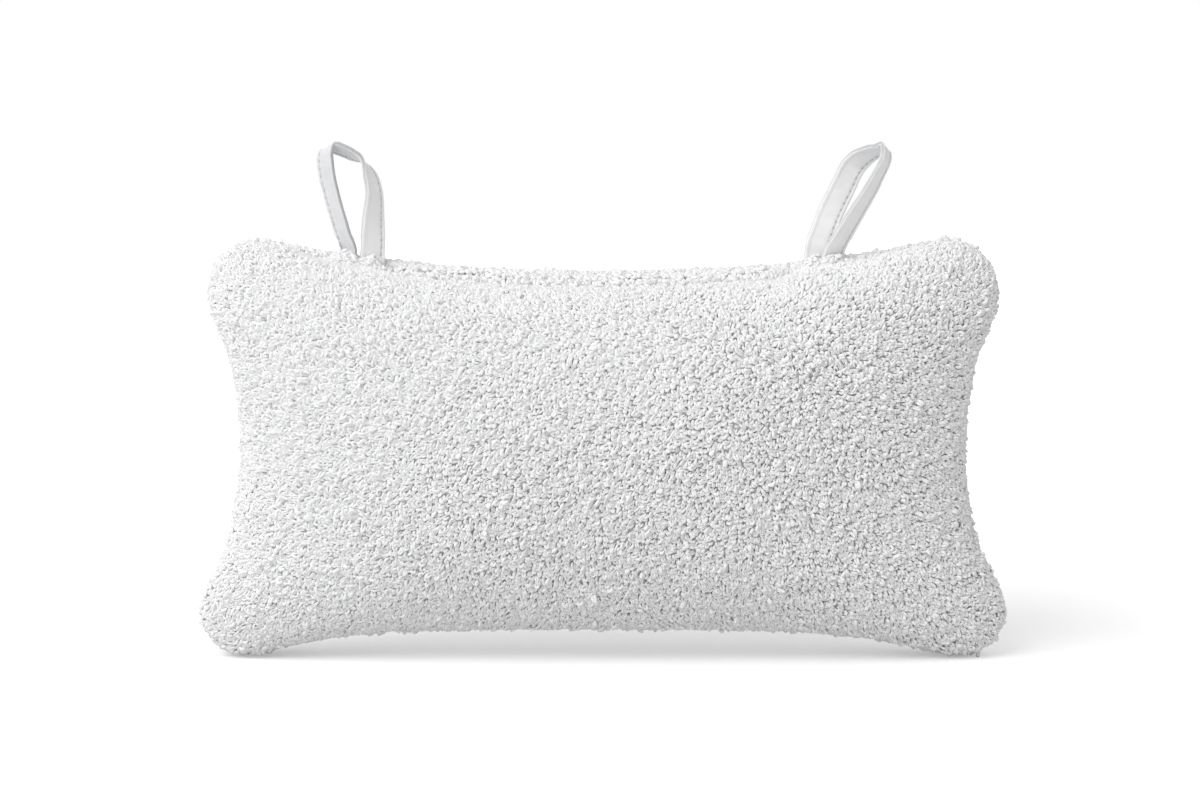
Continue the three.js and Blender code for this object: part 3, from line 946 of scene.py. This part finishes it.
def crease_dip(roots):
    """How deep each curl sits in the crease, where that passes in front of the loops' feet."""
    above = roots[:, 2] - np.interp(roots[:, 0], CREASE_ACROSS, CREASE_HEIGHT)
    near = np.min([np.abs(roots[:, 0] - pivot[0]) for pivot, _ in loops.values()], axis=0) < CREASE_NEAR
    return CREASE_DEPTH * near * np.exp(-(above / CREASE_REACH) ** 2)


def curl_styles(roots, far, side, middle_height):
    """How plump each curl is, how high it stands and how deep it is sunk."""
    front = side < 0
    beside = np.clip(1 - far / STRIP, 0, 1) * (roots[:, 2] > middle_height) * (side > 0)
    lying = ramp(roots[:, 2], FLAT_FROM, FLAT_OVER)
    lying += FLAT_LEFT * ramp(-roots[:, 0], FLAT_LEFT_FROM, FLAT_LEFT_OVER)
    lying = np.clip(lying, 0, 1)
    standing = ramp(STEEP_BELOW - roots[:, 2], 0, STEEP_OVER)
    standing += ramp(roots[:, 0], 0, STEEP_RIGHT_OVER)
    standing = np.clip(standing, 0, 1) * (1 - lying) * front
    plump = 1 + STRIP_PLUMPER * np.sqrt(beside) - THINNER * standing
    flat = 1 - FLATTER * lying * front + STEEPER * standing
    return plump, flat, crease_dip(roots) * front


def make_half(cushion, side, word, middle, roll):
    """One panel: its ground fabric, and its pile in patches."""
    rng = np.random.default_rng(SEED + side)
    mesh = half_of(cushion, side, f"terry_{word}", middle, roll)
    ground = new_object(f"terry_{word}", mesh, GROUND)
    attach(ground, "root")
    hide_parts(f"terry_{word}_panel")
    roots, ups = scatter(mesh, CURL_SPACING, rng)
    far = seam_distance(mesh, roots)
    clear = far > SEAM_CLEAR
    roots, ups, far = roots[clear], ups[clear], far[clear]
    leans = lean_ways(roots, ups, far, side, middle.z, rng)
    styles = curl_styles(roots, far, side, middle.z)
    rows = (roots[:, 2] > np.median(roots[:, 2])).astype(int)
    for row, height in enumerate(PATCH_ROWS):
        limits = np.quantile(roots[rows == row, 0], np.arange(1, len(PATCH_COLUMNS)) / len(PATCH_COLUMNS))
        columns = np.digitize(roots[:, 0], limits)
        for column, across in enumerate(PATCH_COLUMNS):
            chosen = (columns == column) & (rows == row)
            name = f"{word}_pile_{height}_{across}"
            parts = (values[chosen] for values in (roots, ups, leans, *styles))
            pile = new_object(name, curls(name, *parts, rng), PILE)
            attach(pile, "root")
    solid = ground.modifiers.new("thickness", "SOLIDIFY")
    solid.thickness = GROUND_THICKNESS
    solid.offset = -1


# Loops: a row is across, back and up as shares of the loop's height from its pivot,
# the way the stitched edge points in degrees, how far that edge is raised, and how oblique a fold is.
# A foot's row is across as such a share, down as a share of the sewn end, the way, and the thickness share.

LEFT_ROWS = (
    (-0.155, -0.02, 0.03, 134, 0, 0),
    (-0.187, -0.03, 0.111, 131, 0, 0),
    (-0.236, -0.04, 0.284, 131, 0, 0),
    (-0.284, -0.035, 0.451, 131, 0, 0),
    (-0.338, -0.025, 0.671, 132, 0, 0),
    (-0.367, -0.015, 0.86, 133, 0, 0),
    (-0.362, -0.01, 0.975, 128, -6, 0.4),
    (-0.325, -0.005, 1.03, 119, -17, 1),
    (-0.262, -0.005, 1.022, 112, -24, 0.6),
    (-0.185, -0.01, 0.993, 104, -28, 0),
    (-0.1, -0.01, 0.955, 98, -29, 0),
    (0.005, -0.01, 0.893, 85, -22, 0),
    (0.099, -0.015, 0.734, 64, 0, 0),
    (0.137, -0.02, 0.535, 54, 0, 0),
    (0.129, -0.025, 0.346, 41, 0, 0),
    (0.12, -0.025, 0.151, 29, 0, 0),
    (0.117, -0.018, 0.03, 23, 0, 0),
)
LEFT_BACK_FOOT = (
    (-0.12, 1, 180, 0.62),
    (-0.12, 0.75, 165, 0.75),
    (-0.128, 0.4, 138, 1),
    (-0.145, 0.1, 132, 1),
)
LEFT_FRONT_FOOT = (
    (0.114, 0.1, 21, 1),
    (0.105, 0.5, 12, 1),
    (0.098, 1, 0, 0.62),
)
RIGHT_ROWS = (
    (-0.03, 0.015, 0.05, 0, 0, 0),
    (0.018, 0.05, 0.17, 0, 0, 0),
    (0.088, 0.1, 0.34, 0, 0, 0),
    (0.207, 0.135, 0.583, 2, 0, 0),
    (0.29, 0.125, 0.757, 6, -10, 0),
    (0.352, 0.1, 0.83, 25, -45, 0),
    (0.428, 0.05, 0.887, 65, -50, 0),
    (0.51, 0.0, 0.925, 80, -36, 0),
    (0.561, -0.025, 0.948, 72, -26, 0.6),
    (0.58, -0.045, 0.935, 67, -20, 1),
    (0.583, -0.075, 0.873, 64, -6, 0.4),
    (0.545, -0.1, 0.77, 58, 0, 0),
    (0.446, -0.107, 0.579, 49, 0, 0),
    (0.305, -0.095, 0.34, 41, 0, 0),
    (0.2, -0.06, 0.151, 34, 0, 0),
    (0.136, -0.025, 0.035, 30, 0, 0),
)
RIGHT_BACK_FOOT = (
    (-0.064, 1, 0, 0.62),
    (-0.062, 0.75, 0, 0.75),
    (-0.055, 0.45, 0, 1),
    (-0.045, 0.12, 0, 1),
)
RIGHT_FRONT_FOOT = (
    (0.107, 0.12, 28, 1),
    (0.08, 0.5, 20, 1),
    (0.064, 1, 0, 0.62),
)


def spline(points, steps):
    """A centripetal Catmull-Rom curve through the points, with so many steps between two of them."""
    points = np.array(points, float)
    p = np.concatenate([[2 * points[0] - points[1]], points, [2 * points[-1] - points[-2]]])
    made = []
    for a, b, c, d in zip(p, p[1:], p[2:], p[3:]):
        before, here, after = (max(np.linalg.norm(step) ** 0.5, LEAST_GAP) for step in (b - a, c - b, d - c))
        leaving = ((b - a) / before - (c - a) / (before + here) + (c - b) / here) * here
        arriving = ((c - b) / here - (d - b) / (here + after) + (d - c) / after) * here
        for t in np.arange(steps) / steps:
            square, cube = t * t, t * t * t
            made.append(
                b + leaving * t
                + (-3 * b + 3 * c - 2 * leaving - arriving) * square
                + (2 * b - 2 * c + leaving + arriving) * cube
            )
    made.append(points[-1])
    return np.array(made)


def tape_route(name, pivot, rows, feet, height):
    """Where the tape runs: from its sewn back end round the loop to its sewn front end."""
    pivot = np.array(pivot)
    tail = pivot[2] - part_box(f"{name}_back_end")[0].z
    places, ways, shares = [], [], []

    def station(place, degrees, raised, thin, oblique):
        turn = math.radians(degrees)
        places.append(pivot + place)
        ways.append((math.cos(turn), math.sin(turn), math.sin(math.radians(raised))))
        shares.append((thin, oblique))

    for share, down, turn, thin in feet[0]:
        station((share * height, SEWN_LEG_OFFSET, -down * tail), turn, 0, thin, 0)
    for across, back, up, turn, raised, oblique in rows:
        station(height * np.array((across, back, up)), turn, raised, 1, oblique)
    for share, down, turn, thin in feet[1]:
        station((share * height, -SEWN_LEG_OFFSET, -down * tail), turn, 0, thin, 0)
    return tuple(spline(values, ROUTE_STEPS) for values in (places, ways, shares))


def tape_frames(route):
    """At each station: its place, along the tape, across it, off its face, and its thickness share."""
    places, ways, shares = route
    along = unit(np.gradient(places, axis=0))
    square = 1 - np.clip(shares[:, 1:], 0, 1)
    across = unit(ways - square * along * (along * ways).sum(1, keepdims=True))
    thins = np.clip(shares[:, :1], LEAST_THICKNESS_SHARE, 1)
    return places, along, across, unit(np.cross(along, across)), thins


def tape_half_thickness(x):
    """Half the folded tape's thickness across it: round edges, a full fold and a sunken stitch line."""
    near = np.clip((TAPE_WIDTH / 2 - np.abs(x)) / TAPE_EDGE, 0, 1)
    round_edge = np.sqrt(1 - (1 - near) ** 2)
    sunk = STITCH_SINK * np.exp(-((x - STITCH_PLACE) / STITCH_GROOVE) ** 2)
    fold = FOLD_BULGE * np.exp(-((x - FOLD_PLACE) / FOLD_REACH) ** 2)
    return np.maximum((TAPE_THICKNESS / 2 - sunk + fold) * round_edge, 0)


def tape_section():
    """The folded tape cut across: points round it, each across the tape and off its middle."""
    flat = TAPE_WIDTH / 2 - TAPE_EDGE
    inner = np.concatenate([np.linspace(*stretch) for stretch in TAPE_STRETCHES]) * flat
    turns = np.linspace(0, math.pi / 2, TAPE_EDGE_POINTS)[:-1]
    rounded = TAPE_WIDTH / 2 - TAPE_EDGE * (1 - np.cos(turns))
    xs = np.unique(np.round(np.concatenate([-rounded, [-flat], inner, rounded]), SECTION_DECIMALS))
    upper = [(x, tape_half_thickness(x)) for x in xs]
    lower = [(x, -height) for x, height in upper[-2:0:-1]]
    return np.array(upper + lower)


def travelled_to(places):
    """How far along the tape each station is."""
    return np.concatenate([[0], np.cumsum(np.linalg.norm(np.diff(places, axis=0), axis=1))])


def make_tape(name, frames):
    places, _, across, off, thins = frames
    section = tape_section()
    travelled = travelled_to(places)
    beside_seam = np.exp(-((section[:, 0] - STITCH_PLACE) / PUCKER_REACH) ** 2)
    at_hole = 0.5 + 0.5 * np.cos(2 * math.pi * (travelled - STITCH_HOLE) / STITCH_PITCH)
    pucker = 1 - PUCKER * beside_seam[None, :] * at_hole[:, None]
    ripple = np.array([noise_vector(Vector(p) * TAPE_RIPPLE_SCALE)[0] for p in places]) * TAPE_RIPPLE
    points = (
        (places + ripple[:, None] * off)[:, None, :]
        + section[None, :, :1] * across[:, None, :]
        + (section[None, :, 1] * pucker * thins)[:, :, None] * off[:, None, :]
    )
    mesh = tube_mesh(name, points[None])
    lay_out_tape(mesh, section[:, 0], travelled)
    return new_object(name, mesh, TAPE)


def lay_out_tape(mesh, across, along):
    """A map of the tape in millimetres: across it from its middle, and along it."""
    corners = numbers_of(mesh.loops, "vertex_index", 1, np.int32).ravel()
    station, side = np.divmod(corners, len(across))
    values = np.stack([across[side], along[station]], -1) / MM
    mesh.uv_layers.new(name="tape").data.foreach_set("uv", values.astype(np.float32).ravel())


def make_stitches(name, frames, side):
    """Separate stitches along the tape's stitched edge, each one sunk at both ends."""
    places, _, across, off, _ = frames
    travelled = travelled_to(places)
    starts = np.arange(STITCH_START, travelled[-1] - STITCH_START, STITCH_PITCH)
    t = np.linspace(0, 1, STITCH_STATIONS)
    at = starts[:, None] + STITCH_LENGTH * t[None, :]

    def on_route(values):
        return np.stack([np.interp(at, travelled, values[:, i]) for i in range(3)], -1)

    edge = unit(on_route(across))
    away = unit(on_route(off)) * side
    arch = STITCH_RADIUS * (STITCH_ARCH * np.sin(math.pi * t) - STITCH_DEPTH)
    rise = tape_half_thickness(STITCH_PLACE) + arch
    centres = on_route(places) + STITCH_PLACE * edge + rise[None, :, None] * away
    radii = np.full(centres.shape[:2], STITCH_RADIUS)
    mesh = tubes(name, centres, edge[:, STITCH_STATIONS // 2], radii, STITCH_SIDES)
    return new_object(name, mesh, THREAD)


def loop_frames(name, rows, feet, height):
    joint = next(j for j in frame["joints"] if j["child"] == f"{name}_body")
    return joint["pos_m"], tape_frames(tape_route(name, joint["pos_m"], rows, feet, height))


def make_loop(name, frames):
    tape = make_tape(f"{name}_tape", frames)
    needle = make_stitches(f"{name}_needle_stitches", frames, 1)
    bobbin = make_stitches(f"{name}_bobbin_stitches", frames, -1)
    for piece in (tape, needle, bobbin):
        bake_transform(piece)
    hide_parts(name, f"{name}_back_end", f"{name}_front_end")
    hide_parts(f"{name}_needle_thread")
    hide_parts(f"{name}_bobbin_thread")


# Stage

def make_camera():
    data = bpy.data.cameras.new("camera")
    data.lens = LENS
    data.sensor_width = SENSOR
    camera = bpy.data.objects.new("camera", data)
    bpy.context.scene.collection.objects.link(camera)
    distance = PICTURE_WIDTH * LENS / SENSOR
    back = Vector((0, -math.cos(CAMERA_ELEVATION), math.sin(CAMERA_ELEVATION)))
    camera.location = LOOK_AT + distance * back
    camera.rotation_euler = (-back).to_track_quat("-Z", "Y").to_euler()
    bpy.context.scene.camera = camera


def make_lamp(name, place, size, power):
    data = bpy.data.lights.new(name, "AREA")
    data.size = size
    data.energy = power
    lamp = bpy.data.objects.new(name, data)
    bpy.context.scene.collection.objects.link(lamp)
    lamp.location = place
    lamp.rotation_euler = (LOOK_AT - Vector(place)).to_track_quat("-Z", "Y").to_euler()


def seen_directly(tree):
    """1 for what the camera, a reflection or a clear piece sees, 0 for the light that falls on things."""
    rays = add_node(tree, "ShaderNodeLightPath").outputs
    seen = maths(tree, "MAXIMUM", rays["Is Camera Ray"], rays["Is Glossy Ray"])
    return maths(tree, "MAXIMUM", seen, rays["Is Transmission Ray"])


def make_world():
    world = bpy.data.worlds.new("studio")
    bpy.context.scene.world = world
    world.use_nodes = True
    tree = world.node_tree
    light = tree.nodes["Background"]
    light.inputs["Color"].default_value = (1, 1, 1, 1)
    light.inputs["Strength"].default_value = WORLD_STRENGTH
    white = add_node(tree, "ShaderNodeBackground", Color=(1, 1, 1, 1), Strength=1)
    mix = add_node(tree, "ShaderNodeMixShader")
    for output, socket in zip((seen_directly(tree), light.outputs[0], white.outputs[0]), mix.inputs):
        tree.links.new(output, socket)
    tree.links.new(mix.outputs[0], tree.nodes["World Output"].inputs["Surface"])


def make_floor():
    """A matt floor that keeps the pillow's shadow and is white further away."""
    material, tree, shader = node_material("floor", (0.8, 0.8, 0.8), roughness=1)
    shader.inputs["Specular IOR Level"].default_value = 0
    away = add_node(tree, "ShaderNodeVectorMath", operation="LENGTH")
    tree.links.new(place_of(tree), away.inputs[0])
    paler = remapped(tree, away.outputs["Value"], GLOW_FROM, GLOW_TO, GLOW_NEAR, GLOW_FAR)
    glow = add_node(tree, "ShaderNodeEmission", Color=(1, 1, 1, 1))
    tree.links.new(maths(tree, "MULTIPLY", seen_directly(tree), paler), glow.inputs["Strength"])
    both = add_node(tree, "ShaderNodeAddShader")
    tree.links.new(shader.outputs[0], both.inputs[0])
    tree.links.new(glow.outputs[0], both.inputs[1])
    tree.links.new(both.outputs[0], tree.nodes["Material Output"].inputs["Surface"])
    corners = [(x * FLOOR_HALF, y * FLOOR_HALF, 0) for x, y in ((-1, -1), (1, -1), (1, 1), (-1, 1))]
    floor = new_object("floor", mesh_of("floor", corners, [(0, 1, 2, 3)]), material)


def make_stage():
    make_camera()
    make_world()
    make_floor()
    make_lamp("key", KEY_PLACE, KEY_SIZE, KEY_POWER)
    bpy.context.scene.view_settings.view_transform = "Standard"


make_stage()
left_feet, right_feet = (LEFT_BACK_FOOT, LEFT_FRONT_FOOT), (RIGHT_BACK_FOOT, RIGHT_FRONT_FOOT)
loops = {
    "left_loop": loop_frames("left_loop", LEFT_ROWS, left_feet, LEFT_LOOP_HEIGHT),
    "right_loop": loop_frames("right_loop", RIGHT_ROWS, right_feet, RIGHT_LOOP_HEIGHT),
}
cushion, middle = make_cushion()
roll = read_roll()
make_half(cushion, -1, "front", middle, roll)
make_half(cushion, 1, "back", middle, roll)
bpy.data.objects.remove(cushion)
for name, (pivot, frames) in loops.items():
    make_loop(name, frames)
finish_inner_pieces()
